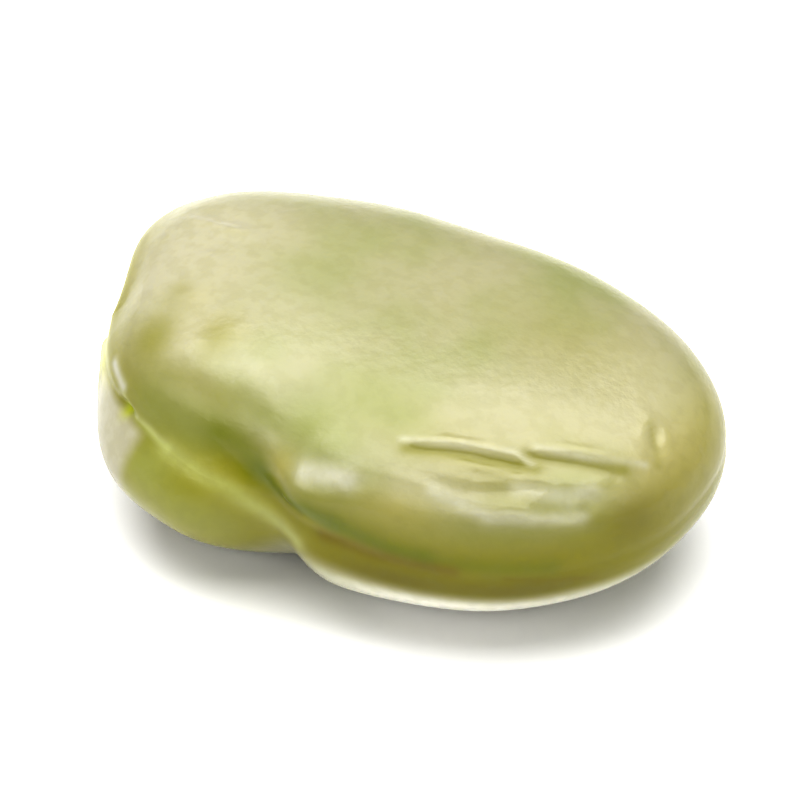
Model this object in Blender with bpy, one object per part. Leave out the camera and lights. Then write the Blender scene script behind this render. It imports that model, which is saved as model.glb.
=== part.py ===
"""A shelled broad bean: one whole seed, as one solid, lying on its flatter side.

Metres, +Z up. The seed's length runs along X, with the hilum end at -X. The waist and
the root bulge are on the -Y side. The origin is under the middle of the seed, on the
surface that it lies on.
"""

import math

import bmesh
import bpy
import numpy as np
from mathutils import Vector, noise

MM = 0.001

# The whole seed
LENGTH = 27.4 * MM
WIDTH = 18.4 * MM
UPPER_DEPTH = 4.9 * MM  # from the seam to the crown of the upper seed leaf
LOWER_DEPTH = 5.7 * MM  # from the seam to the crown of the lower seed leaf
PLAN_POWER = 2.25  # of the superellipse seen from above: 2 is an ellipse
UPPER_POWER = 2.6  # of the section's superellipse: a higher power has a flatter face
LOWER_POWER = 2.35
HEAD_SWELL = 0.06  # how much thicker the hilum end is than the middle

# Swellings and hollows of the side: the direction in degrees from +X anticlockwise, the
# height from -1 at the lower crown through 0 at the seam to 1 at the upper crown, how far
# the side moves out there, and the spreads in degrees and in height
SIDE_FORMS = (
    (28, 0.0, 0.20 * MM, 22, 2.0),
    (95, 0.0, -0.35 * MM, 28, 2.0),  # straighter back
    (156, 0.0, 0.55 * MM, 15, 2.0),  # blunt corner at the back of the hilum end
    (188, 0.0, -0.65 * MM, 16, 2.0),  # flat that carries the hilum
    (194, 0.42, -0.95 * MM, 17, 0.42),
    (196, -0.45, 0.15 * MM, 12, 0.45),
    (206, -0.10, -0.35 * MM, 14, 0.25),
    (224, -0.48, 1.30 * MM, 18, 0.45),  # corner filled by the root
    (228, 0.03, -0.60 * MM, 20, 0.26),  # the seam lies further in beside the root
    (238, 0.68, -0.55 * MM, 16, 0.28),  # rounder shoulder above the valley
    (241, -0.50, 0.60 * MM, 9, 0.45),
    (259, 0.74, -0.50 * MM, 12, 0.45),  # soft saddle in the shoulder above the waist
    (260, -0.60, -1.10 * MM, 11, 0.60),  # waist, where the root's tip ends
    (270, 0.34, 0.80 * MM, 12, 0.28),  # left end of the front swelling
    (338, -0.20, -0.42 * MM, 20, 1.2),
)

# Valley between the root and the upper seed leaf: for directions along it, the height of
# its bottom and how deep it is
VALLEY_DIRECTIONS = (200, 222, 243, 263, 280, 293, 310)
VALLEY_HEIGHTS = (0.42, 0.40, 0.32, 0.14, 0.07, 0.03, 0.0)
VALLEY_DEPTHS = (0.0, 0.50 * MM, 0.80 * MM, 0.80 * MM, 0.50 * MM, 0.25 * MM, 0.0)
VALLEY_SPREAD = 0.24  # in height, below its bottom
VALLEY_SHOULDER = 0.40  # in height, above its bottom
VALLEY_EASE = ((-8, 0.25), (0, 0.5), (8, 0.25))  # degrees beside, and the share taken there

# Seam between the two seed leaves: a direction, how far it climbs there, and the spread
SEAM_FORMS = (
    (205, 1.2 * MM, 45),
    (315, -0.6 * MM, 38),
)
CREASE_DEPTH = 0.12 * MM
CREASE_WIDTH = 0.28 * MM
CREASE_REST = 0.25  # how deep it is away from the hilum, as a share
CREASE_REACH = 60  # degrees to both sides of the hilum

# The hilum, the long scar where the seed hung in its pod
HILUM_DIRECTION = 169.2
HILUM_REACH = 12.7 * MM  # from the seed's middle to the hilum
HILUM_LENGTH = 10.24 * MM
HILUM_WIDTH = 2.1 * MM
HILUM_POWER = 2.6  # of its outline: 2 is an ellipse, more is blunter
HILUM_TIP = 0.10  # its width at the ends, as a share of the whole width
HILUM_FADE = 0.10
HILUM_SUNK = 0.55 * MM
HILUM_ARCH = 0.20 * MM
SLIT_DEPTH = 0.16 * MM
SLIT_WIDTH = 0.12 * MM
LIP_WIDTH = 0.8 * MM
LIP_RISE = 0.22 * MM

# The pit beside the hilum's end, where the root's tip points
PIT_DIRECTION = 217.5
PIT_HEIGHT = 0.02
PIT_DEPTH = 0.30 * MM
PIT_SPREAD = 2.6
PIT_TALL = 0.06

# Wrinkles of the seed coat on the upper face: both ends in millimetres seen from above,
# then the depth and the half width. A negative depth is a fold that stands up.
WRINKLES = (
    (3.9, -6.4, 8.5, -4.85, 0.18, 0.32),
    (8.0, -4.5, 11.3, -2.95, 0.20, 0.38),
    (3.6, -6.1, 7.6, -4.65, -0.10, 0.35),
    (8.3, -4.05, 12.0, -1.8, -0.10, 0.36),
    (7.4, -5.9, 10.8, -3.95, -0.08, 0.40),
    (6.4, -7.5, 10.6, -5.5, -0.12, 0.50),
    (6.9, -6.7, 9.8, -5.4, 0.06, 0.40),
    (11.4, 0.0, 12.4, -1.3, 0.12, 0.34),
    (11.8, 0.5, 12.6, -0.4, -0.06, 0.32),
    (-2.2, -7.0, 1.0, -5.6, 0.15, 1.1),
    (0.3, -7.9, 3.4, -7.5, -0.12, 0.8),
    (-5.6, -3.8, -4.0, -6.2, 0.07, 0.8),
    (-10.8, 1.5, -7.4, 0.7, 0.06, 0.35),
    (-11.2, 3.0, -8.0, 2.2, 0.06, 0.35),
)
WRINKLED_FROM = 0.1  # the least upward part of the coat's direction that has wrinkles
WRINKLED_FULLY = 0.4

# Gentle swells of the seed coat, all over
UNEVENNESS = 0.10 * MM
UNEVENNESS_SIZE = 4.5 * MM
UNEVENNESS_PLACE = 7.3

# Flat spot that the seed rests on
FLAT_CUT = 0.10 * MM  # how much of the lower crown it takes off
WELD_DISTANCE = 0.03 * MM

# Mesh: a cube's faces, blown up to a ball
CUTS = 29  # along each edge of the cube
ROW_CROWDING = 0.6  # spacing of the rows at the seam, as a share of even spacing
HILUM_ROW = 6  # the row, counted from the seam, that follows the hilum's outline
ROWS_MOVED = 0.55  # rows up to this height give way to it

# Colours and gloss
SEED_COAT_COLOUR = (0.52, 0.55, 0.24, 1.0)
SEED_COAT_ROUGHNESS = 0.38
HILUM_COLOUR = (0.012, 0.010, 0.010, 1.0)
HILUM_ROUGHNESS = 0.45


def bump(value, centre, spread):
    """1 at the centre, falling to 0 on both sides like a bell."""
    return np.exp(-(((value - centre) / spread) ** 2))


def turn(angle, centre):
    """The angle from the centre, in degrees, between -180 and 180."""
    return (angle - centre + 180) % 360 - 180


def height_of(ratio, power):
    """The height in the section, 0 to 1, of a point of the ball by its steepness."""
    return ratio * (1 + ratio**power) ** (-1 / power)


def ratio_of(height, power):
    """The steepness of the ball's point that ends up at a height."""
    return height * (1 - height**power) ** (-1 / power)


def measure(ball):
    """Direction in degrees, steepness, section power and section depth of the ball's points."""
    angle = np.degrees(np.arctan2(ball[:, 1] * WIDTH, ball[:, 0] * LENGTH)) % 360
    level = np.maximum(np.hypot(ball[:, 0], ball[:, 1]), 1e-9)
    ratio = np.abs(ball[:, 2]) / level
    upper = ball[:, 2] > 0
    power = np.where(upper, UPPER_POWER, LOWER_POWER)
    depth = np.where(upper, UPPER_DEPTH, LOWER_DEPTH)
    return angle, ratio, power, depth


def plain_radius(angle):
    """Distance from the seed's middle to its outline, seen from above."""
    along = np.abs(np.cos(np.radians(angle)) / (LENGTH / 2)) ** PLAN_POWER
    across = np.abs(np.sin(np.radians(angle)) / (WIDTH / 2)) ** PLAN_POWER
    return (along + across) ** (-1 / PLAN_POWER)


def hilum_place(angle):
    """Where a direction is along the hilum, from -1 to 1, and the hilum's half width there."""
    along = np.radians(turn(angle, HILUM_DIRECTION)) * HILUM_REACH / (HILUM_LENGTH / 2)
    full = np.sqrt(np.clip(1 - np.abs(along) ** HILUM_POWER, 0, 1))
    half = HILUM_WIDTH / 2 * np.maximum(full, HILUM_TIP)
    return along, half


def seam_relief(angle, above):
    """How far the side stands out near the seam, for a distance above the seam."""
    along, half = hilum_place(angle)
    beyond = np.abs(above) - half
    at_hilum = 1 / (1 + np.exp(np.clip((np.abs(along) - 1) / HILUM_FADE, -40, 40)))
    lip = LIP_RISE * bump(beyond, LIP_WIDTH, 0.6 * LIP_WIDTH)
    wall = -HILUM_SUNK * bump(np.maximum(beyond, 0), 0, 0.45 * LIP_WIDTH)
    arch = HILUM_ARCH * np.sqrt(np.clip(1 - (above / half) ** 2, 0, 1))
    slit = -SLIT_DEPTH * bump(above, 0, SLIT_WIDTH) * (beyond < 0)
    marked = CREASE_REST + (1 - CREASE_REST) * bump(turn(angle, HILUM_DIRECTION), 0, CREASE_REACH)
    crease = -CREASE_DEPTH * marked * bump(above, 0, CREASE_WIDTH)
    return at_hilum * (lip + wall + arch + slit) + (1 - at_hilum) * crease


def along_valley(angle, values):
    """One of the valley's values at a direction, eased over its listed directions."""
    eased = np.zeros(len(angle))
    for beside, share in VALLEY_EASE:
        eased = eased + share * np.interp(angle + beside, VALLEY_DIRECTIONS, values)
    return eased


def side_radius(angle, height):
    """Distance from the seed's middle line to its side, before the section rounds it in."""
    radius = plain_radius(angle)
    for direction, where, reach, spread, tall in SIDE_FORMS:
        radius = radius + reach * bump(turn(angle, direction), 0, spread) * bump(height, where, tall)
    valley_height = along_valley(angle, VALLEY_HEIGHTS)
    valley_depth = along_valley(angle, VALLEY_DEPTHS)
    spread = np.where(height > valley_height, VALLEY_SHOULDER, VALLEY_SPREAD)
    radius = radius - valley_depth * bump(height, valley_height, spread)
    pit = bump(turn(angle, PIT_DIRECTION), 0, PIT_SPREAD) * bump(height, PIT_HEIGHT, PIT_TALL)
    return radius - PIT_DEPTH * pit


def seed_form(ball):
    """Moves the points of a unit ball to the smooth form of the seed, its seam near Z = 0."""
    angle, ratio, power, depth = measure(ball)
    share = (1 + ratio**power) ** (-1 / power)
    height = np.sign(ball[:, 2]) * height_of(ratio, power)
    radius = (side_radius(angle, height) + seam_relief(angle, depth * height)) * share
    x = radius * np.cos(np.radians(angle))
    y = radius * np.sin(np.radians(angle))
    seam = np.zeros(len(x))
    for direction, climb, spread in SEAM_FORMS:
        seam = seam + climb * bump(turn(angle, direction), 0, spread)
    swell = 1 - HEAD_SWELL * 2 * x / LENGTH
    z = depth * swell * height + seam * share**2 * (1 - np.abs(height))
    return np.stack([x, y, z], axis=1)


def row_ratio(row):
    """The steepness of a row of the ball, for its place from -1 to 1 up the cube's side."""
    return math.tan(row * (ROW_CROWDING + (1 - ROW_CROWDING) * row**2) * math.pi / 4)


def ball_mesh():
    """A ball of four-sided faces from a cube, with rows that run along the seam."""
    ball = bmesh.new()
    bmesh.ops.create_cube(ball, size=2.0)
    bmesh.ops.subdivide_edges(ball, edges=ball.edges[:], cuts=CUTS, use_grid_fill=True)
    for vert in ball.verts:
        row = vert.co.z
        x = math.tan(vert.co.x * math.pi / 4)
        y = math.tan(vert.co.y * math.pi / 4)
        z = row_ratio(row)
        if abs(row) < 0.9999:
            straight = math.hypot(x, y) / max(abs(x), abs(y))
            z = z * (straight + (1 - straight) * row**2)
        vert.co = (x, y, z)
        vert.co.normalize()
    return ball


def fit_rows(ball):
    """Slides the ball's points up or down, so that one row follows the hilum's outline."""
    angle, ratio, power, depth = measure(ball)
    along, half = hilum_place(angle)
    away = np.clip((np.abs(along) - 1.1) / 0.6, 0, 1)
    edge = height_of(row_ratio(HILUM_ROW * 2 / (CUTS + 1)), power)
    wanted = half / depth + (edge - half / depth) * away
    height = height_of(ratio, power)
    inner = height / edge * wanted
    outer = wanted + (height - edge) / (ROWS_MOVED - edge) * (ROWS_MOVED - wanted)
    moved = np.where(height < edge, inner, outer)
    ratio = np.where(height < ROWS_MOVED, ratio_of(np.clip(moved, 0, 0.9), power), ratio)
    level = 1 / np.hypot(1, ratio)
    rim = np.maximum(np.hypot(ball[:, 0], ball[:, 1]), 1e-9)
    x = ball[:, 0] / rim * level
    y = ball[:, 1] / rim * level
    return np.stack([x, y, np.sign(ball[:, 2]) * ratio * level], axis=1)


def coat_relief(point, normal):
    """How far the seed coat stands out at a point: its swells and its wrinkles."""
    place = point / UNEVENNESS_SIZE + Vector((UNEVENNESS_PLACE, 0, 0))
    out = UNEVENNESS * noise.noise(place)
    share = min(max((normal.z - WRINKLED_FROM) / (WRINKLED_FULLY - WRINKLED_FROM), 0), 1)
    if share == 0:
        return out
    x = point.x / MM
    y = point.y / MM
    for x0, y0, x1, y1, deep, wide in WRINKLES:
        run_x = x1 - x0
        run_y = y1 - y0
        along = ((x - x0) * run_x + (y - y0) * run_y) / (run_x**2 + run_y**2)
        held = min(max(along, 0), 1)
        gap = math.hypot(x - x0 - held * run_x, y - y0 - held * run_y)
        taper = 1 - 0.6 * (2 * held - 1) ** 2
        out = out - share * deep * MM * taper * math.exp(-((gap / wide) ** 2))
    return out


def mark_hilum(ball, places):
    """Gives the faces inside the hilum's outline the second material."""
    angle, ratio, power, depth = measure(places)
    along, half = hilum_place(angle)
    above = depth * height_of(ratio, power)
    for face in ball.faces:
        corners = [vert.index for vert in face.verts]
        inside = above[corners].mean() < half[corners].mean()
        if inside and np.abs(along[corners]).max() < 1.03:
            face.material_index = 1


def cut_flat(ball):
    """Takes a thin slice off the lowest part, to leave a flat spot to rest on."""
    floor = min(vert.co.z for vert in ball.verts) + FLAT_CUT
    parts = ball.verts[:] + ball.edges[:] + ball.faces[:]
    cut = bmesh.ops.bisect_plane(
        ball, geom=parts, plane_co=(0, 0, floor), plane_no=(0, 0, -1), clear_outer=True
    )
    rim = [item for item in cut["geom_cut"] if isinstance(item, bmesh.types.BMEdge)]
    bmesh.ops.edgenet_fill(ball, edges=rim)
    bmesh.ops.remove_doubles(ball, verts=ball.verts, dist=WELD_DISTANCE)
    bmesh.ops.recalc_face_normals(ball, faces=ball.faces[:])


def settle(ball):
    """Puts the middle of the seed over the origin, with the flat spot at Z = 0."""
    points = np.array([vert.co for vert in ball.verts])
    low = points.min(axis=0)
    high = points.max(axis=0)
    shift = (-(low[0] + high[0]) / 2, -(low[1] + high[1]) / 2, -low[2])
    bmesh.ops.translate(ball, verts=ball.verts, vec=shift)


def surface(name, colour, roughness):
    """A plain glossy material."""
    material = bpy.data.materials.new(name)
    material.use_nodes = True
    shader = material.node_tree.nodes["Principled BSDF"]
    shader.inputs["Base Color"].default_value = colour
    shader.inputs["Roughness"].default_value = roughness
    return material


def seed_mesh():
    """The whole seed as one closed mesh."""
    ball = ball_mesh()
    places = fit_rows(np.array([vert.co for vert in ball.verts]))
    for vert, point in zip(ball.verts, seed_form(places)):
        vert.co = point
    ball.normal_update()
    for vert in ball.verts:
        vert.co += vert.normal * coat_relief(vert.co, vert.normal)
    mark_hilum(ball, places)
    cut_flat(ball)
    settle(ball)
    mesh = bpy.data.meshes.new("broad_bean")
    ball.to_mesh(mesh)
    ball.free()
    mesh.shade_smooth()
    return mesh


def build():
    for old in list(bpy.data.objects):
        bpy.data.objects.remove(old)
    mesh = seed_mesh()
    mesh.materials.append(surface("seed_coat", SEED_COAT_COLOUR, SEED_COAT_ROUGHNESS))
    mesh.materials.append(surface("hilum_scar", HILUM_COLOUR, HILUM_ROUGHNESS))
    bean = bpy.data.objects.new("broad_bean", mesh)
    group = bpy.data.collections.new("broad_bean")
    bpy.context.scene.collection.children.link(group)
    group.objects.link(bean)
    bpy.context.view_layer.update()


build()
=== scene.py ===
"""The looks of a shelled broad bean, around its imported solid, in the same frame and metres."""

import math

import bmesh
import bpy
import numpy as np
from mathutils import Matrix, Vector, noise


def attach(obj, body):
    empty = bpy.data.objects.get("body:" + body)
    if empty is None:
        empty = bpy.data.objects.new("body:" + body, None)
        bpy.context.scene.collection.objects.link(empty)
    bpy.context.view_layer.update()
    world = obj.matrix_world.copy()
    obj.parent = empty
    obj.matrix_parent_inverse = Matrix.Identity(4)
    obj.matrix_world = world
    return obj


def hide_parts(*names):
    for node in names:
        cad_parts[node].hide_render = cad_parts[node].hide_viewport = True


MM = 0.001

# The seed's form, as in the part's own source, down to the flat spot
LENGTH = 27.4 * MM
WIDTH = 18.4 * MM
UPPER_DEPTH = 4.9 * MM  # from the seam to the crown of the upper seed leaf
LOWER_DEPTH = 5.7 * MM  # from the seam to the crown of the lower seed leaf
PLAN_POWER = 2.25  # of the superellipse seen from above: 2 is an ellipse
UPPER_POWER = 2.6  # of the section's superellipse: a higher power has a flatter face
LOWER_POWER = 2.35
HEAD_SWELL = 0.06  # how much thicker the hilum end is than the middle

# Swellings and hollows of the side: the direction in degrees from +X anticlockwise, the
# height from -1 at the lower crown through 0 at the seam to 1 at the upper crown, how far
# the side moves out there, and the spreads in degrees and in height
SIDE_FORMS = (
    (28, 0.0, 0.20 * MM, 22, 2.0),
    (95, 0.0, -0.35 * MM, 28, 2.0),
    (156, 0.0, 0.55 * MM, 15, 2.0),
    (188, 0.0, -0.65 * MM, 16, 2.0),
    (194, 0.42, -0.95 * MM, 17, 0.42),
    (196, -0.45, 0.15 * MM, 12, 0.45),
    (206, -0.10, -0.35 * MM, 14, 0.25),
    (224, -0.48, 1.30 * MM, 18, 0.45),
    (228, 0.03, -0.60 * MM, 20, 0.26),
    (238, 0.68, -0.55 * MM, 16, 0.28),
    (241, -0.50, 0.60 * MM, 9, 0.45),
    (259, 0.74, -0.50 * MM, 12, 0.45),
    (260, -0.60, -1.10 * MM, 11, 0.60),
    (270, 0.34, 0.80 * MM, 12, 0.28),
    (338, -0.20, -0.42 * MM, 20, 1.2),
)

# Valley between the root and the upper seed leaf: for directions along it, the height of
# its bottom and how deep it is
VALLEY_DIRECTIONS = (200, 222, 243, 263, 280, 293, 310)
VALLEY_HEIGHTS = (0.42, 0.40, 0.32, 0.14, 0.07, 0.03, 0.0)
VALLEY_DEPTHS = (0.0, 0.50 * MM, 0.80 * MM, 0.80 * MM, 0.50 * MM, 0.25 * MM, 0.0)
VALLEY_SPREAD = 0.24  # in height, below its bottom
VALLEY_SHOULDER = 0.40  # in height, above its bottom
VALLEY_EASE = ((-8, 0.25), (0, 0.5), (8, 0.25))  # degrees beside, and the share taken there

# Seam between the two seed leaves: a direction, how far it climbs there, and the spread
SEAM_FORMS = (
    (205, 1.2 * MM, 45),
    (315, -0.6 * MM, 38),
)
CREASE_DEPTH = 0.12 * MM
CREASE_WIDTH = 0.28 * MM
CREASE_REST = 0.25  # how deep it is away from the hilum, as a share
CREASE_REACH = 60  # degrees to both sides of the hilum

# The hilum, the long scar where the seed hung in its pod
HILUM_DIRECTION = 169.2
HILUM_REACH = 12.7 * MM  # from the seed's middle to the hilum
HILUM_LENGTH = 10.24 * MM
HILUM_WIDTH = 2.1 * MM
HILUM_POWER = 2.6  # of its outline: 2 is an ellipse, more is blunter
HILUM_TIP = 0.10  # its width at the ends, as a share of the whole width
HILUM_FADE = 0.10  # how softly it ends, as a share of its half length
HILUM_SUNK = 0.55 * MM
HILUM_ARCH = 0.20 * MM
SLIT_DEPTH = 0.16 * MM
SLIT_WIDTH = 0.12 * MM
LIP_WIDTH = 0.8 * MM
LIP_SPREAD = 0.6 * LIP_WIDTH
LIP_RISE = 0.22 * MM
WALL_SPREAD = 0.45 * LIP_WIDTH  # of the step from the lip down to the hilum

# The pit beside the hilum's end, where the root's tip points
PIT_DIRECTION = 217.5
PIT_HEIGHT = 0.02
PIT_DEPTH = 0.30 * MM
PIT_SPREAD = 2.6
PIT_TALL = 0.06

# Wrinkles of the seed coat on the upper face: both ends in millimetres seen from above,
# then the depth and the half width. A negative depth is a fold that stands up.
WRINKLES = (
    (3.9, -6.4, 8.5, -4.85, 0.18, 0.32),
    (8.0, -4.5, 11.3, -2.95, 0.20, 0.38),
    (3.6, -6.1, 7.6, -4.65, -0.10, 0.35),
    (8.3, -4.05, 12.0, -1.8, -0.10, 0.36),
    (7.4, -5.9, 10.8, -3.95, -0.08, 0.40),
    (6.4, -7.5, 10.6, -5.5, -0.12, 0.50),
    (6.9, -6.7, 9.8, -5.4, 0.06, 0.40),
    (11.4, 0.0, 12.4, -1.3, 0.12, 0.34),
    (11.8, 0.5, 12.6, -0.4, -0.06, 0.32),
    (-2.2, -7.0, 1.0, -5.6, 0.15, 1.1),
    (0.3, -7.9, 3.4, -7.5, -0.12, 0.8),
    (-5.6, -3.8, -4.0, -6.2, 0.07, 0.8),
    (-10.8, 1.5, -7.4, 0.7, 0.06, 0.35),
    (-11.2, 3.0, -8.0, 2.2, 0.06, 0.35),
)
WRINKLE_TAPER = 0.6  # how much of its depth a wrinkle loses towards its ends
WRINKLED_FROM = 0.1  # the least upward part of the coat's direction that has wrinkles
WRINKLED_FULLY = 0.4

# Gentle swells of the seed coat, all over
UNEVENNESS = 0.10 * MM
UNEVENNESS_SIZE = 4.5 * MM
UNEVENNESS_PLACE = 7.3

# Flat spot that the seed rests on
FLAT_CUT = 0.10 * MM  # how much of the lower crown it takes off

# Mesh: a cube's faces, blown up to a ball, finer than the solid's
CUTS = 119  # along each edge of the cube
TOP_ROW = 0.9999  # rows below this one, up the cube's side, are straightened
ROW_CROWDING = 0.6  # spacing of the rows at the seam, as a share of even spacing
HILUM_ROW_SHARE = 0.4  # the row's place up the cube's side that follows the hilum's outline
HILUM_ROW_HELD = 1.1  # it follows it to here, in half lengths of the hilum
HILUM_ROW_FREED = 0.6  # and is back in its own place this much further on
ROWS_MOVED = 0.55  # rows up to this height give way to it
HIGHEST_ROW_MOVED = 0.9
LARGEST_POWER = 40  # keeps exp within what a number can hold
TINY = 1e-9  # keeps a division by nothing from failing

# Fine wrinkles that only this mesh can carry, listed as in WRINKLES. The first three lie on
# grooves of that list and make them shallower.
FINE_WRINKLES = (
    (3.9, -6.4, 8.5, -4.85, -0.11, 0.34),
    (8.0, -4.5, 11.3, -2.95, -0.10, 0.40),
    (11.4, 0.0, 12.4, -1.3, -0.07, 0.36),
    (3.7, -6.5, 5.6, -5.75, 0.05, 0.18),
    (5.2, -5.85, 7.0, -5.35, 0.04, 0.20),
    (6.7, -5.45, 8.6, -4.75, 0.05, 0.20),
    (8.0, -4.6, 9.8, -3.75, 0.05, 0.20),
    (9.5, -3.8, 11.5, -2.8, 0.04, 0.24),
    (3.6, -6.0, 7.6, -4.55, -0.02, 0.20),
    (8.2, -4.0, 12.0, -1.7, -0.02, 0.22),
    (7.7, -4.7, 8.5, -4.95, -0.04, 0.20),
    (5.0, -6.4, 8.6, -5.3, -0.03, 0.20),
    (7.8, -5.3, 10.9, -3.6, 0.03, 0.18),
    (10.0, -5.2, 10.6, -5.2, 0.06, 0.25),
    (10.5, -4.5, 11.4, -4.0, 0.06, 0.22),
    (6.6, -6.9, 8.0, -6.4, 0.05, 0.25),
    (4.4, -7.2, 6.4, -6.9, 0.04, 0.30),
    (11.2, 0.5, 11.5, -0.9, -0.06, 0.22),
    (-11.0, 2.2, -7.6, 1.4, -0.06, 0.25),
    (-10.6, 0.8, -7.8, 0.1, 0.06, 0.30),
)

# Ripples along the wrinkles, and where they are: the middle in mm, the reach along each axis
# in mm, and the strength
CRINKLE = 0.05 * MM
CRINKLE_SIZE = 1.0 * MM
CRINKLE_STRETCH = 2.4  # how many times longer than wide
CRINKLE_RUN = (0.92, 0.39)  # the direction that they run in, seen from above
CRINKLE_SHARES = (1.5, 0.8)  # of the large and of the small ripples
SMALL_CRINKLE = 2.3  # how many times smaller the small ripples are
SMALL_CRINKLE_PLACE = (3.1, 5.2, 1.7)
CRINKLED_FROM = 0.02  # the least strength that moves a point
CRINKLED_SPOTS = (
    (8.0, -5.35, 8.6, 5.5, 2.6, 2.6, 1.0),
    (0.6, -8.05, 8.4, 2.0, 1.4, 0.9, 0.8),
    (12.2, -0.75, 8.0, 1.6, 2.6, 1.6, 0.9),
    (-9.5, 1.45, 9.8, 2.6, 1.8, 1.5, 0.5),
    (-7.0, -5.25, 9.7, 1.3, 1.3, 1.0, 0.4),
    (-3.4, -5.15, 10.0, 2.4, 1.0, 1.0, 0.4),
)

# Where the coat's colours, its painted shade and its painted highlights lie: the middle in mm, the
# reach along each axis in mm, and the strength. The last of them isn't a colour: the coat has a
# little more gloss there.
COLOUR_SPOTS = {
    "cream_and_highlight": (  # paler coat at the hilum end and in soft patches; two of the patches are painted highlights
        (-11.5, -0.65, 9.0, 5.5, 5.5, 4.0, 1.0),
        (-10.8, -0.15, 8.0, 4.0, 9.0, 3.0, 0.5),
        (-4.2, -2.2, 10.5, 2.6, 1.8, 1.5, 0.6),
        # the next two spots are painted highlights on the left shoulder
        (-7.5, -4.8, 9.6, 0.6, 0.9, 0.8, 0.7),
        (-4.0, -5.4, 9.9, 1.5, 0.6, 0.9, 0.4),
        (-10.0, 2.9, 9.8, 2.5, 2.5, 1.5, 0.6),
        (10.4, 1.9, 9.1, 2.5, 2.5, 1.5, 0.45),
    ),
    "olive_band_and_shade": (  # the dark olive band low on the front, darkened further as painted shade
        (4.0, -8.4, 4.4, 3.5, 2.0, 0.7, 0.8),
        (9.0, -6.7, 4.4, 3.5, 3.0, 0.7, 0.8),
        (12.4, -3.4, 6.8, 1.2, 1.5, 1.0, 0.4),
    ),
    "painted_flank_shade": (  # painted shade on the root's flank, in a duller grey-green
        (-5.4, -8.8, 4.5, 2.2, 1.4, 1.2, 0.7),
        (-3.6, -8.6, 3.6, 1.6, 1.4, 1.8, 0.35),
        (-7.4, -8.2, 5.5, 1.7, 1.5, 1.3, 0.95),
    ),
    "yellow": (  # the yellower end, front and shoulder
        (13.1, 0.8, 7.3, 2.0, 5.0, 3.0, 0.8),
        (10.4, 1.9, 9.1, 3.0, 3.0, 1.5, 0.2),
        (4.0, -8.3, 7.7, 2.2, 1.0, 0.9, 0.6),
        (-1.2, -8.0, 7.9, 0.8, 0.7, 0.7, 0.6),
        (4.6, -5.6, 9.8, 4.0, 1.6, 1.6, 0.2),
        (9.4, -3.0, 9.2, 3.4, 1.8, 1.6, 0.2),
        (-8.2, -2.6, 10.0, 0.7, 0.7, 1.0, 0.5),
        (-6.4, -3.9, 10.1, 1.5, 0.8, 1.0, 0.3),
    ),
    "smudge_and_shade": (  # duller olive round the left shoulder and on the front: partly the coat's smear, partly painted shade
        (-8.9, -4.9, 9.1, 1.2, 1.5, 1.2, 0.9),
        (-7.0, -6.4, 8.8, 2.2, 0.8, 1.2, 0.6),
        (-4.9, -7.0, 8.6, 1.6, 0.9, 1.0, 0.8),
        (-9.1, -2.3, 9.8, 0.6, 0.7, 0.6, 0.4),
        (8.0, -5.6, 8.7, 3.4, 1.2, 1.2, 0.55),
        (-6.2, -4.4, 10.0, 0.8, 1.2, 1.0, 0.7),
        (6.3, 1.8, 10.0, 3.0, 2.4, 1.5, 0.35),
    ),
    "green": (  # greener coat above the valley, darkened as painted shade in the dent and on the valley's wall
        (0.8, -4.9, 10.0, 1.9, 1.5, 1.3, 0.6),
        (2.6, -5.2, 9.8, 1.5, 1.2, 1.2, 0.6),
        (-7.6, -6.9, 7.6, 1.6, 1.2, 1.2, 0.7),
        (-5.6, -7.3, 7.6, 1.6, 1.2, 1.2, 0.8),
        (-0.6, -6.6, 9.3, 1.4, 1.0, 1.0, 0.7),
        (-2.6, -6.8, 8.9, 1.4, 0.7, 0.8, 0.6),
    ),
    "gloss": (  # the wrinkled front and the swelling beside the waist
        (8.0, -5.2, 8.6, 5.5, 2.6, 2.6, 1.0),
        (0.6, -8.2, 8.4, 2.4, 1.4, 1.0, 1.0),
        (12.2, -0.8, 8.0, 1.6, 2.6, 1.6, 0.9),
    ),
}
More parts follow.
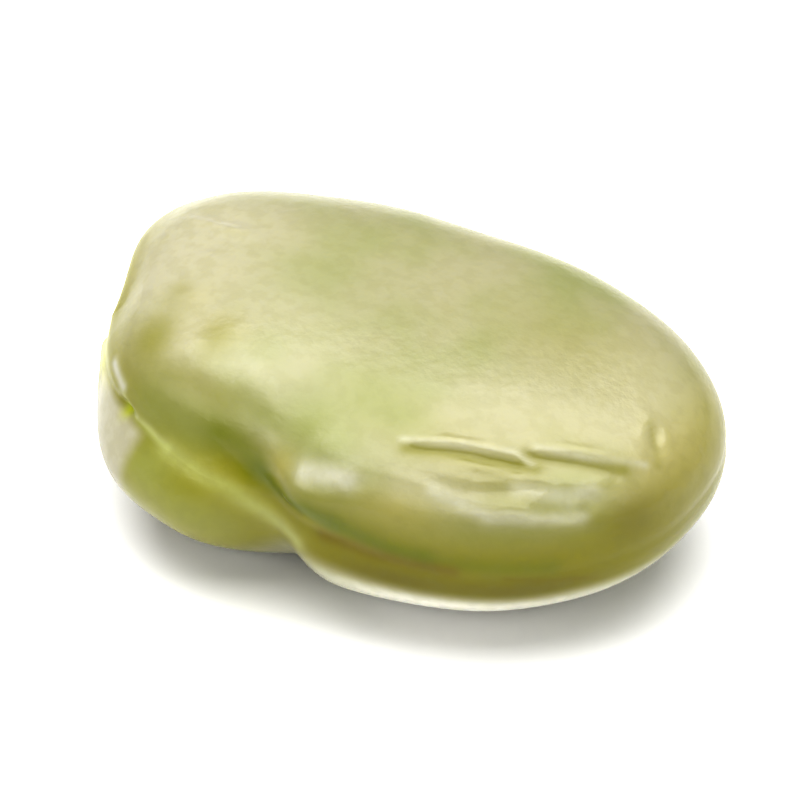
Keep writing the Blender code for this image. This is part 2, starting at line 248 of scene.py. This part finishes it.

# Coloured lines on the coat, some of them painted shade and some painted highlights: points in mm,
# then the half width in mm and the strength
COLOUR_STROKES = {
    "crest": (  # the pale upper edge of the root
        (
            (-6.6, -7.9, 6.5),
            (-5.6, -8.2, 6.4),
            (-4.6, -8.4, 6.2),
            (-3.5, -8.4, 6.0),
            (-2.5, -8.3, 5.5),
            (-1.5, -8.2, 5.0),
            (-0.4, -8.5, 4.5),
            0.50,
            0.6,
        ),
        ((-9.5, -6.3, 7.4), (-9.1, -6.5, 6.9), (-7.7, -7.5, 6.8), (-6.6, -7.9, 6.5), 0.20, 0.7),
    ),
    "valley": (  # deep green along the valley, darkened there as painted shade
        ((-4.4, -7.5, 7.9), (-3.4, -7.6, 7.7), (-2.6, -7.9, 7.2), 0.8, 0.6),
        ((-2.4, -7.9, 7.1), (-1.4, -8.2, 6.7), (0.3, -9.0, 6.8), (1.4, -8.8, 6.4), 0.55, 1.0),
        ((1.4, -8.8, 6.4), (2.6, -8.6, 6.1), (3.8, -8.6, 5.9), (5.4, -8.4, 5.8), 0.50, 0.85),
        ((5.4, -8.4, 5.8), (6.8, -8.0, 5.8), (8.2, -7.4, 5.7), (10.0, -6.1, 5.5), 0.45, 0.5),
    ),
    "fold": (  # painted shade in the wider grooves
        ((3.5, -6.3, 9.3), (5.1, -5.75, 9.25), (6.7, -5.2, 9.1), (8.4, -4.55, 8.9), 0.32, 0.80),
        ((7.9, -4.3, 9.2), (9.5, -3.4, 8.85), (11.3, -2.4, 8.4), 0.32, 0.65),
        ((11.2, 0.2, 8.8), (12.2, -1.1, 8.0), 0.20, 0.3),
    ),
    "painted_highlight": (  # painted highlights on the pale edges and rounds of the wrinkled coat, and on a few other swellings
        ((3.2, -6.1, 9.6), (5.4, -5.3, 9.6), (7.5, -4.5, 9.4), (8.3, -4.5, 9.1), 0.16, 0.5),
        ((8.1, -3.85, 9.4), (9.9, -3.0, 9.0), (11.9, -1.6, 8.3), 0.18, 0.5),
        ((8.2, -5.6, 8.6), (9.1, -5.2, 8.4), (10.0, -4.7, 8.2), (10.7, -3.9, 8.2), 0.40, 0.5),
        ((5.2, -7.2, 8.5), (7.6, -7.0, 7.9), (9.6, -5.9, 7.7), (10.8, -4.9, 7.5), 0.35, 0.6),
        ((-10.4, -5.5, 7.8), (-9.5, -6.3, 7.5), 0.24, 1.0),
        ((0.0, -8.3, 8.2), (1.1, -8.2, 8.4), (1.8, -8.1, 8.4), 0.50, 0.85),
    ),
    "streak": (  # a brownish line near the seam
        ((0.9, -8.6, 5.5), (3.0, -8.6, 5.4), (5.4, -8.4, 5.4), (6.5, -8.0, 5.4), 0.36, 0.6),
        ((8.5, -7.2, 5.1), (9.6, -6.4, 4.9), (11.1, -5.0, 4.6), (12.4, -2.6, 3.7), 0.14, 0.25),
    ),
}

# The olive side, the coat's own olive rim darkened further as painted shade: the heights where it
# fades into the upper and into the lower seed leaf, then a direction and a spread in degrees and how
# much further it reaches there in height
SIDE_FADES_UP = (0.10, 0.68)
SIDE_FADES_DOWN = (0.18, 0.50)
SIDE_AT_BACK = (85, 55, 0.22)
SIDE_AT_ROOT = (243, 16, 0.30)
SIDE_PALER_AT = (14, 25, 0.6)  # the last one is the share that it loses there

# The painted light that the floor bounces onto the underside: how far below the seam it starts, in
# height, then a direction and a spread in degrees and the share of its paleness that it gains or
# loses there
FLOOR_BOUNCE_FADES = (0.16, 0.40)
FLOOR_BOUNCE_AT_FRONT = (300, 55, 0.75)
FLOOR_BOUNCE_GONE_AT_ROOT = (254, 29, 1)

# A paler strip between the hilum's end and the root: the stretches where it
# fades in and out, in degrees, and then downwards from the seam, in height
STRIP_STARTS = (200, 206)
STRIP_ENDS = (222.5, 226.5)
STRIP_TOP = (-0.02, 0.06)
STRIP_FOOT = (0.6, 0.8)

# The green line on the hilum's lip, and the colour in the pit
LIP_LINE = 0.2 * MM  # from the hilum's edge
LIP_LINE_SPREAD = 0.45 * MM
LIP_LINE_ENDS = (1.0, 1.9)  # in half lengths of the hilum
PIT_COLOURED = 0.5  # of the pit's spread

# The coat's plain colours from 0 to 255, and those of its marks, painted shade, painted highlights
# and painted floor bounce among them, from the lowest layer up
PALE = (155, 152, 124)
PALE_GREEN = (142, 144, 103)
MARKS = (
    ("yellow", (168, 160, 106)),
    ("cream_and_highlight", (170, 166, 144)),
    ("side", (131, 126, 12)),
    ("painted_floor_bounce", (228, 226, 214)),
    ("olive_band_and_shade", (106, 98, 18)),
    ("painted_flank_shade", (144, 146, 80)),
    ("smudge_and_shade", (134, 131, 72)),
    ("green", (132, 136, 78)),
    ("strip", (170, 166, 144)),
    ("valley", (104, 112, 4)),
    ("crest", (172, 174, 116)),
    ("streak", (112, 94, 0)),
    ("fold", (118, 115, 4)),
    ("painted_highlight", (178, 176, 160)),
    ("lip", (204, 203, 116)),
    ("pit", (178, 184, 34)),
)
FLECK = (120, 118, 62)
BLACK = (20, 17, 18)

# Clouds in the coat: the size, the detail, and the values that become 0 and 1
GREEN_CLOUDS = (6 * MM, 2, 0.35, 0.65)
FLECKS = (0.7 * MM, 3, 0.42, 0.62)
SATIN_CLOUDS = (1.6 * MM, 3, 0.3, 0.7)
SKIN = (0.35 * MM, 2, 0.25, 0.75)

# How much the clouds show, and how the coat takes light
FLECKS_SHOW = 0.10
ROUGHNESS = (0.24, 0.268)  # of the glossiest and of the dullest satin
GLOSSY_SHARE = 0.85  # of the roughness, where the coat has more gloss
SKIN_DEPTH = 0.006 * MM
REFRACTION = 1.4
SUBSURFACE = 0.25
SUBSURFACE_RADII = (1.0, 0.9, 0.3)
SUBSURFACE_REACH = 1.5 * MM

# Floor and surroundings
FLOOR_REACH = 3.0
FLOOR_COLOUR = (0.86, 0.86, 0.86, 1)
FLOOR_ROUGHNESS = 0.6
WHITE = (1, 1, 1, 1)
WORLD_STRENGTH = 0.15

# Camera: degrees round from the front and up, distances in metres, the lens in mm
CAMERA_AZIMUTH = 28
CAMERA_ELEVATION = 40
CAMERA_DISTANCE = 0.5
CAMERA_LENS = 550
CAMERA_SEES_FROM = 0.01
CAMERA_SEES_TO = 20
CENTRE = (0, 0, 5.3 * MM)  # the seed's middle
AIM_OFFSET = (-0.12 * MM, 0.42 * MM, 0)  # across and up in the picture, from the middle
GAMMA = 0.7

# Lamps: the name, degrees round from the camera and up, distance and size in metres, watts
LAMPS = (
    ("key", 180, 84, 0.28, (0.38, 0.34), 2.1),
    ("back", -122, 54, 0.55, (0.24, 0.20), 0.2),
    ("front_left", -64, 29, 0.55, (0.34, 0.15), 0.6),
    ("front", -12, 36, 0.55, (0.40, 0.22), 0.8),
    ("front_right", 34, 36, 0.55, (0.42, 0.22), 0.65),
)


def bump(value, centre, spread):
    """1 at the centre, falling to 0 on both sides like a bell."""
    return np.exp(-(((value - centre) / spread) ** 2))


def turn(angle, centre):
    """The angle from the centre, in degrees, between -180 and 180."""
    return (angle - centre + 180) % 360 - 180


def smooth(value, low, high):
    """0 below low, 1 above high, and an even ease between them."""
    share = np.clip((value - low) / (high - low), 0, 1)
    return share * share * (3 - 2 * share)


def beside(angle, direction, spread, most):
    """A value that is the most at a direction and fades to both sides of it."""
    return most * bump(turn(angle, direction), 0, spread)


def height_of(ratio, power):
    """The height in the section, 0 to 1, of a point of the ball by its steepness."""
    return ratio * (1 + ratio**power) ** (-1 / power)


def ratio_of(height, power):
    """The steepness of the ball's point that ends up at a height."""
    return height * (1 - height**power) ** (-1 / power)


def measure(ball):
    """Direction in degrees, steepness, section power and section depth of the ball's points."""
    angle = np.degrees(np.arctan2(ball[:, 1] * WIDTH, ball[:, 0] * LENGTH)) % 360
    level = np.maximum(np.hypot(ball[:, 0], ball[:, 1]), TINY)
    ratio = np.abs(ball[:, 2]) / level
    upper = ball[:, 2] > 0
    power = np.where(upper, UPPER_POWER, LOWER_POWER)
    depth = np.where(upper, UPPER_DEPTH, LOWER_DEPTH)
    return angle, ratio, power, depth


def plain_radius(angle):
    """Distance from the seed's middle to its outline, seen from above."""
    along = np.abs(np.cos(np.radians(angle)) / (LENGTH / 2)) ** PLAN_POWER
    across = np.abs(np.sin(np.radians(angle)) / (WIDTH / 2)) ** PLAN_POWER
    return (along + across) ** (-1 / PLAN_POWER)


def hilum_place(angle):
    """Where a direction is along the hilum, from -1 to 1, and the hilum's half width there."""
    along = np.radians(turn(angle, HILUM_DIRECTION)) * HILUM_REACH / (HILUM_LENGTH / 2)
    full = np.sqrt(np.clip(1 - np.abs(along) ** HILUM_POWER, 0, 1))
    half = HILUM_WIDTH / 2 * np.maximum(full, HILUM_TIP)
    return along, half


def seam_relief(angle, above):
    """How far the side stands out near the seam, for a distance above the seam."""
    along, half = hilum_place(angle)
    beyond = np.abs(above) - half
    past_end = np.clip((np.abs(along) - 1) / HILUM_FADE, -LARGEST_POWER, LARGEST_POWER)
    at_hilum = 1 / (1 + np.exp(past_end))
    lip = LIP_RISE * bump(beyond, LIP_WIDTH, LIP_SPREAD)
    wall = -HILUM_SUNK * bump(np.maximum(beyond, 0), 0, WALL_SPREAD)
    arch = HILUM_ARCH * np.sqrt(np.clip(1 - (above / half) ** 2, 0, 1))
    slit = -SLIT_DEPTH * bump(above, 0, SLIT_WIDTH) * (beyond < 0)
    marked = CREASE_REST + (1 - CREASE_REST) * bump(turn(angle, HILUM_DIRECTION), 0, CREASE_REACH)
    crease = -CREASE_DEPTH * marked * bump(above, 0, CREASE_WIDTH)
    return at_hilum * (lip + wall + arch + slit) + (1 - at_hilum) * crease


def along_valley(angle, values):
    """One of the valley's values at a direction, eased over its listed directions."""
    eased = np.zeros(len(angle))
    for further, share in VALLEY_EASE:
        eased = eased + share * np.interp(angle + further, VALLEY_DIRECTIONS, values)
    return eased


def side_radius(angle, height):
    """Distance from the seed's middle line to its side, before the section rounds it in."""
    radius = plain_radius(angle)
    for direction, where, reach, spread, tall in SIDE_FORMS:
        radius = radius + reach * bump(turn(angle, direction), 0, spread) * bump(height, where, tall)
    valley_height = along_valley(angle, VALLEY_HEIGHTS)
    valley_depth = along_valley(angle, VALLEY_DEPTHS)
    spread = np.where(height > valley_height, VALLEY_SHOULDER, VALLEY_SPREAD)
    radius = radius - valley_depth * bump(height, valley_height, spread)
    pit = bump(turn(angle, PIT_DIRECTION), 0, PIT_SPREAD) * bump(height, PIT_HEIGHT, PIT_TALL)
    return radius - PIT_DEPTH * pit


def seed_form(ball):
    """Moves the points of a unit ball to the smooth form of the seed, its seam near Z = 0."""
    angle, ratio, power, depth = measure(ball)
    share = (1 + ratio**power) ** (-1 / power)
    height = np.sign(ball[:, 2]) * height_of(ratio, power)
    radius = (side_radius(angle, height) + seam_relief(angle, depth * height)) * share
    x = radius * np.cos(np.radians(angle))
    y = radius * np.sin(np.radians(angle))
    seam = np.zeros(len(x))
    for direction, climb, spread in SEAM_FORMS:
        seam = seam + climb * bump(turn(angle, direction), 0, spread)
    swell = 1 - HEAD_SWELL * 2 * x / LENGTH
    z = depth * swell * height + seam * share**2 * (1 - np.abs(height))
    return np.stack([x, y, z], axis=1)


def row_ratio(row):
    """The steepness of a row of the ball, for its place from -1 to 1 up the cube's side."""
    return math.tan(row * (ROW_CROWDING + (1 - ROW_CROWDING) * row**2) * math.pi / 4)


def ball_mesh():
    """A ball of four-sided faces from a cube, with rows that run along the seam."""
    ball = bmesh.new()
    bmesh.ops.create_cube(ball, size=2.0)
    bmesh.ops.subdivide_edges(ball, edges=ball.edges[:], cuts=CUTS, use_grid_fill=True)
    for vert in ball.verts:
        row = vert.co.z
        x = math.tan(vert.co.x * math.pi / 4)
        y = math.tan(vert.co.y * math.pi / 4)
        z = row_ratio(row)
        if abs(row) < TOP_ROW:
            straight = math.hypot(x, y) / max(abs(x), abs(y))
            z = z * (straight + (1 - straight) * row**2)
        vert.co = (x, y, z)
        vert.co.normalize()
    return ball


def fit_rows(ball):
    """Slides the ball's points up or down, so that one row follows the hilum's outline."""
    angle, ratio, power, depth = measure(ball)
    along, half = hilum_place(angle)
    away = np.clip((np.abs(along) - HILUM_ROW_HELD) / HILUM_ROW_FREED, 0, 1)
    edge = height_of(row_ratio(HILUM_ROW_SHARE), power)
    wanted = half / depth + (edge - half / depth) * away
    height = height_of(ratio, power)
    inner = height / edge * wanted
    outer = wanted + (height - edge) / (ROWS_MOVED - edge) * (ROWS_MOVED - wanted)
    moved = np.where(height < edge, inner, outer)
    steeper = ratio_of(np.clip(moved, 0, HIGHEST_ROW_MOVED), power)
    ratio = np.where(height < ROWS_MOVED, steeper, ratio)
    level = 1 / np.hypot(1, ratio)
    rim = np.maximum(np.hypot(ball[:, 0], ball[:, 1]), TINY)
    x = ball[:, 0] / rim * level
    y = ball[:, 1] / rim * level
    return np.stack([x, y, np.sign(ball[:, 2]) * ratio * level], axis=1)


def coat_relief(point, normal):
    """How far the seed coat stands out at a point: its swells and its wrinkles."""
    place = point / UNEVENNESS_SIZE + Vector((UNEVENNESS_PLACE, 0, 0))
    out = UNEVENNESS * noise.noise(place)
    share = min(max((normal.z - WRINKLED_FROM) / (WRINKLED_FULLY - WRINKLED_FROM), 0), 1)
    if share == 0:
        return out
    x = point.x / MM
    y = point.y / MM
    for x0, y0, x1, y1, deep, wide in WRINKLES + FINE_WRINKLES:
        run_x = x1 - x0
        run_y = y1 - y0
        along = ((x - x0) * run_x + (y - y0) * run_y) / (run_x**2 + run_y**2)
        held = min(max(along, 0), 1)
        gap = math.hypot(x - x0 - held * run_x, y - y0 - held * run_y)
        taper = 1 - WRINKLE_TAPER * (2 * held - 1) ** 2
        out = out - share * deep * MM * taper * math.exp(-((gap / wide) ** 2))
    return out


def spots(places, marks):
    """How strongly soft spots cover each point, 0 to 1; all in mm."""
    cover = np.zeros(len(places))
    for x, y, z, reach_x, reach_y, reach_z, strength in marks:
        apart = (places - (x, y, z)) / (reach_x, reach_y, reach_z)
        cover = 1 - (1 - cover) * (1 - strength * np.exp(-(apart**2).sum(axis=1)))
    return cover


def strokes(places, marks):
    """How strongly soft lines cover each point, 0 to 1; all in mm."""
    cover = np.zeros(len(places))
    for *points, half, strength in marks:
        nearest = np.full(len(places), np.inf)
        for start, end in zip(points, points[1:]):
            run = np.subtract(end, start)
            along = np.clip((places - start) @ run / (run @ run), 0, 1)
            gap = np.linalg.norm(places - start - along[:, None] * run, axis=1)
            nearest = np.minimum(nearest, gap)
        cover = 1 - (1 - cover) * (1 - strength * np.exp(-((nearest / half) ** 2)))
    return cover


def crinkle(point):
    """Fine soft ripples that run along the wrinkles, up and down from 0."""
    along = (point.x * CRINKLE_RUN[0] + point.y * CRINKLE_RUN[1]) / CRINKLE_STRETCH
    across = point.y * CRINKLE_RUN[0] - point.x * CRINKLE_RUN[1]
    place = Vector((along, across, point.z)) / CRINKLE_SIZE
    large = noise.noise(place)
    small = noise.noise(place * SMALL_CRINKLE + Vector(SMALL_CRINKLE_PLACE))
    return CRINKLE_SHARES[0] * large + CRINKLE_SHARES[1] * small


def settle_shift(points):
    """What part.py's last step moves the seed by, so that it lies on its flat spot at Z = 0."""
    low = points.min(axis=0)
    high = points.max(axis=0)
    return np.array([(low[0] + high[0]) / 2, (low[1] + high[1]) / 2, low[2] + FLAT_CUT])


def seed_mesh():
    """The seed's fine mesh, and the places of its points on the ball it is made from."""
    ball = ball_mesh()
    places = fit_rows(np.array([vert.co for vert in ball.verts]))
    for vert, point in zip(ball.verts, seed_form(places)):
        vert.co = point
    ball.normal_update()
    for vert in ball.verts:
        vert.co += vert.normal * coat_relief(vert.co, vert.normal)
    ball.normal_update()
    shift = settle_shift(np.array([vert.co for vert in ball.verts]))
    crinkled = spots((np.array([vert.co for vert in ball.verts]) - shift) / MM, CRINKLED_SPOTS)
    for vert, share in zip(ball.verts, crinkled):
        if share > CRINKLED_FROM:
            vert.co += vert.normal * (CRINKLE * float(share) * crinkle(vert.co))
    for vert in ball.verts:
        vert.co -= Vector(shift)
        vert.co.z = max(vert.co.z, 0)
    mesh = bpy.data.meshes.new("seed")
    ball.to_mesh(mesh)
    ball.free()
    mesh.shade_smooth()
    return mesh, places


def add_masks(mesh, places):
    """Gives each point its share of the coat's marks, painted shade and highlights among them, for
    the material to colour by.
    """
    angle, ratio, power, depth = measure(places)
    height = np.sign(places[:, 2]) * height_of(ratio, power)
    along, half = hilum_place(angle)
    beyond = np.abs(depth * height) - half
    points = np.array([vert.co for vert in mesh.vertices]) / MM
    masks = {name: spots(points, marks) for name, marks in COLOUR_SPOTS.items()}
    masks.update({name: strokes(points, marks) for name, marks in COLOUR_STROKES.items()})
    # the olive side: partly the coat's olive rim, partly painted shade
    side_above = 1 - smooth(height - beside(angle, *SIDE_AT_BACK), *SIDE_FADES_UP)
    side_below = 1 - smooth(-height - beside(angle, *SIDE_AT_ROOT), *SIDE_FADES_DOWN)
    masks["side"] = side_above * side_below * (1 - beside(angle, *SIDE_PALER_AT))
    # painted light bounced from the floor onto the underside, pale near-white
    bounce_share = 1 - FLOOR_BOUNCE_AT_FRONT[-1] + beside(angle, *FLOOR_BOUNCE_AT_FRONT)
    bounce_share = bounce_share * (1 - beside(angle, *FLOOR_BOUNCE_GONE_AT_ROOT))
    masks["painted_floor_bounce"] = smooth(-height, *FLOOR_BOUNCE_FADES) * bounce_share
    strip_length = smooth(angle, *STRIP_STARTS) * (1 - smooth(angle, *STRIP_ENDS))
    strip_height = smooth(-height, *STRIP_TOP) * (1 - smooth(-height, *STRIP_FOOT))
    masks["strip"] = strip_length * strip_height
    masks["hilum"] = (beyond < 0) * (np.abs(along) < 1)
    lip_length = 1 - smooth(np.abs(along), *LIP_LINE_ENDS)
    masks["lip"] = bump(beyond, LIP_LINE, LIP_LINE_SPREAD) * lip_length
    pit_across = beside(angle, PIT_DIRECTION, PIT_COLOURED * PIT_SPREAD, 1)
    masks["pit"] = pit_across * bump(height, PIT_HEIGHT, PIT_TALL)
    for name, values in masks.items():
        attribute = mesh.attributes.new(name, "FLOAT", "POINT")
        attribute.data.foreach_set("value", np.asarray(values, np.float32))


def linear(red, green, blue):
    """The shader's colour for an ordinary one of 0 to 255."""
    shares = []
    for value in (red, green, blue):
        share = value / 255
        shares.append(share / 12.92 if share <= 0.04045 else ((share + 0.055) / 1.055) ** 2.4)
    return (*shares, 1)


class Paint:
    """Puts a material's nodes together."""

    def __init__(self, name):
        self.material = bpy.data.materials.new(name)
        self.material.use_nodes = True
        self.nodes = self.material.node_tree.nodes
        self.links = self.material.node_tree.links
        self.shader = self.nodes["Principled BSDF"]
        self.place = self.nodes.new("ShaderNodeTexCoord").outputs["Object"]

    def fill(self, socket, value):
        """Links an output to a socket, or sets a plain value on it."""
        if isinstance(value, bpy.types.NodeSocket):
            self.links.new(value, socket)
        else:
            socket.default_value = value

    def attribute(self, name):
        """One of the mesh's masks."""
        node = self.nodes.new("ShaderNodeAttribute")
        node.attribute_name = name
        return node.outputs["Fac"]

    def mix(self, share, under, over):
        """Two colours, with a share of the second over the first."""
        node = self.nodes.new("ShaderNodeMix")
        node.data_type = "RGBA"
        self.fill(node.inputs["Factor"], share)
        self.fill(node.inputs["A"], under)
        self.fill(node.inputs["B"], over)
        return node.outputs["Result"]

    def times(self, first, second):
        """Two values, multiplied."""
        node = self.nodes.new("ShaderNodeMath")
        node.operation = "MULTIPLY"
        self.fill(node.inputs[0], first)
        self.fill(node.inputs[1], second)
        return node.outputs[0]

    def cloud(self, size, detail, low, high):
        """A noise of spots of a size in metres, cut to 0 below low and 1 above high."""
        node = self.nodes.new("ShaderNodeTexNoise")
        node.inputs["Scale"].default_value = 1 / size
        node.inputs["Detail"].default_value = detail
        self.links.new(self.place, node.inputs["Vector"])
        return self.span(node.outputs["Fac"], low, high)

    def span(self, value, low, high, to_low=0, to_high=1):
        """A value between low and high, eased to lie between two others."""
        node = self.nodes.new("ShaderNodeMapRange")
        node.interpolation_type = "SMOOTHSTEP"
        node.inputs["From Min"].default_value = low
        node.inputs["From Max"].default_value = high
        node.inputs["To Min"].default_value = to_low
        node.inputs["To Max"].default_value = to_high
        self.links.new(value, node.inputs["Value"])
        return node.outputs["Result"]

    def relief(self, height, distance):
        """A surface that is uneven by a height of 0 to 1 times a distance."""
        node = self.nodes.new("ShaderNodeBump")
        node.inputs["Distance"].default_value = distance
        self.links.new(height, node.inputs["Height"])
        return node.outputs["Normal"]


def seed_coat():
    """The coat: pale green and satin, olive round the rim, with a black hilum, painted shade and
    painted highlights.
    """
    paint = Paint("seed_coat")
    colour = paint.mix(paint.cloud(*GREEN_CLOUDS), linear(*PALE), linear(*PALE_GREEN))
    for name, shade in MARKS:
        colour = paint.mix(paint.attribute(name), colour, linear(*shade))
    flecks = paint.times(paint.cloud(*FLECKS), FLECKS_SHOW)
    colour = paint.mix(flecks, colour, linear(*FLECK))
    colour = paint.mix(paint.attribute("hilum"), colour, linear(*BLACK))
    paint.fill(paint.shader.inputs["Base Color"], colour)
    satin = paint.span(paint.cloud(*SATIN_CLOUDS), 0, 1, *ROUGHNESS)
    gloss = paint.span(paint.attribute("gloss"), 0, 1, 1, GLOSSY_SHARE)
    paint.fill(paint.shader.inputs["Roughness"], paint.times(satin, gloss))
    skin = paint.relief(paint.cloud(*SKIN), SKIN_DEPTH)
    paint.fill(paint.shader.inputs["Normal"], skin)
    paint.fill(paint.shader.inputs["IOR"], REFRACTION)
    paint.fill(paint.shader.inputs["Subsurface Weight"], SUBSURFACE)
    paint.fill(paint.shader.inputs["Subsurface Radius"], SUBSURFACE_RADII)
    paint.fill(paint.shader.inputs["Subsurface Scale"], SUBSURFACE_REACH)
    return paint.material


def floor_mesh():
    """A large square at Z = 0."""
    corners = (
        (-FLOOR_REACH, -FLOOR_REACH, 0),
        (FLOOR_REACH, -FLOOR_REACH, 0),
        (FLOOR_REACH, FLOOR_REACH, 0),
        (-FLOOR_REACH, FLOOR_REACH, 0),
    )
    mesh = bpy.data.meshes.new("floor")
    mesh.from_pydata(corners, [], [(0, 1, 2, 3)])
    return mesh


def floor_paint():
    """The plain pale floor."""
    paint = Paint("floor")
    paint.fill(paint.shader.inputs["Base Color"], FLOOR_COLOUR)
    paint.fill(paint.shader.inputs["Roughness"], FLOOR_ROUGHNESS)
    return paint.material


def add_object(name, data):
    """A new object in the scene for a mesh, a lamp or a camera."""
    thing = bpy.data.objects.new(name, data)
    bpy.context.scene.collection.objects.link(thing)
    return thing


def outward(azimuth, elevation):
    """The direction from the seed towards a place so many degrees round and up."""
    around = math.radians(azimuth)
    up = math.radians(elevation)
    return Vector((math.sin(around) * math.cos(up), -math.cos(around) * math.cos(up), math.sin(up)))


def add_softbox(name, azimuth, elevation, distance, size, watts):
    """A rectangular lamp that shines softly on the seed's middle."""
    lamp = bpy.data.lights.new(name, "AREA")
    lamp.shape = "RECTANGLE"
    lamp.size, lamp.size_y = size
    lamp.energy = watts
    holder = add_object(name, lamp)
    towards = outward(azimuth, elevation)
    holder.location = Vector(CENTRE) + towards * distance
    holder.rotation_mode = "QUATERNION"
    holder.rotation_quaternion = towards.to_track_quat("Z", "Y")


def add_world():
    """A faint white light from all sides."""
    world = bpy.data.worlds.new("world")
    world.use_nodes = True
    background = world.node_tree.nodes["Background"]
    background.inputs["Color"].default_value = WHITE
    background.inputs["Strength"].default_value = WORLD_STRENGTH
    bpy.context.scene.world = world


def add_camera():
    """The camera, from the photo's side and height."""
    lens = bpy.data.cameras.new("camera")
    lens.lens = CAMERA_LENS
    lens.clip_start = CAMERA_SEES_FROM
    lens.clip_end = CAMERA_SEES_TO
    camera = add_object("camera", lens)
    towards = outward(CAMERA_AZIMUTH, CAMERA_ELEVATION)
    camera.rotation_mode = "QUATERNION"
    camera.rotation_quaternion = towards.to_track_quat("Z", "Y")
    offset = camera.rotation_quaternion @ Vector(AIM_OFFSET)
    camera.location = Vector(CENTRE) + offset + towards * CAMERA_DISTANCE
    return camera


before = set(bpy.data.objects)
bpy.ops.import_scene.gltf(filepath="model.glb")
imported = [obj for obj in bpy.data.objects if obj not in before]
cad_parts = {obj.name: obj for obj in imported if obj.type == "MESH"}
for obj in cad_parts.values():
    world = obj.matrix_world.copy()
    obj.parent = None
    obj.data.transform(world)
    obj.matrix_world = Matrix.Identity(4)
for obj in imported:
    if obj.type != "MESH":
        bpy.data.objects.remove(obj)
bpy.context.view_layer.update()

seed_shape, ball_places = seed_mesh()
add_masks(seed_shape, ball_places)
seed_shape.materials.append(seed_coat())
seed = add_object("seed", seed_shape)
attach(seed, "root")
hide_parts("broad_bean")

floor_shape = floor_mesh()
floor_shape.materials.append(floor_paint())
floor = add_object("floor", floor_shape)

for lamp_name, azimuth, elevation, distance, size, watts in LAMPS:
    add_softbox(lamp_name, CAMERA_AZIMUTH + azimuth, elevation, distance, size, watts)
add_world()
bpy.context.scene.camera = add_camera()
bpy.context.scene.view_settings.view_transform = "Standard"
bpy.context.scene.view_settings.gamma = GAMMA
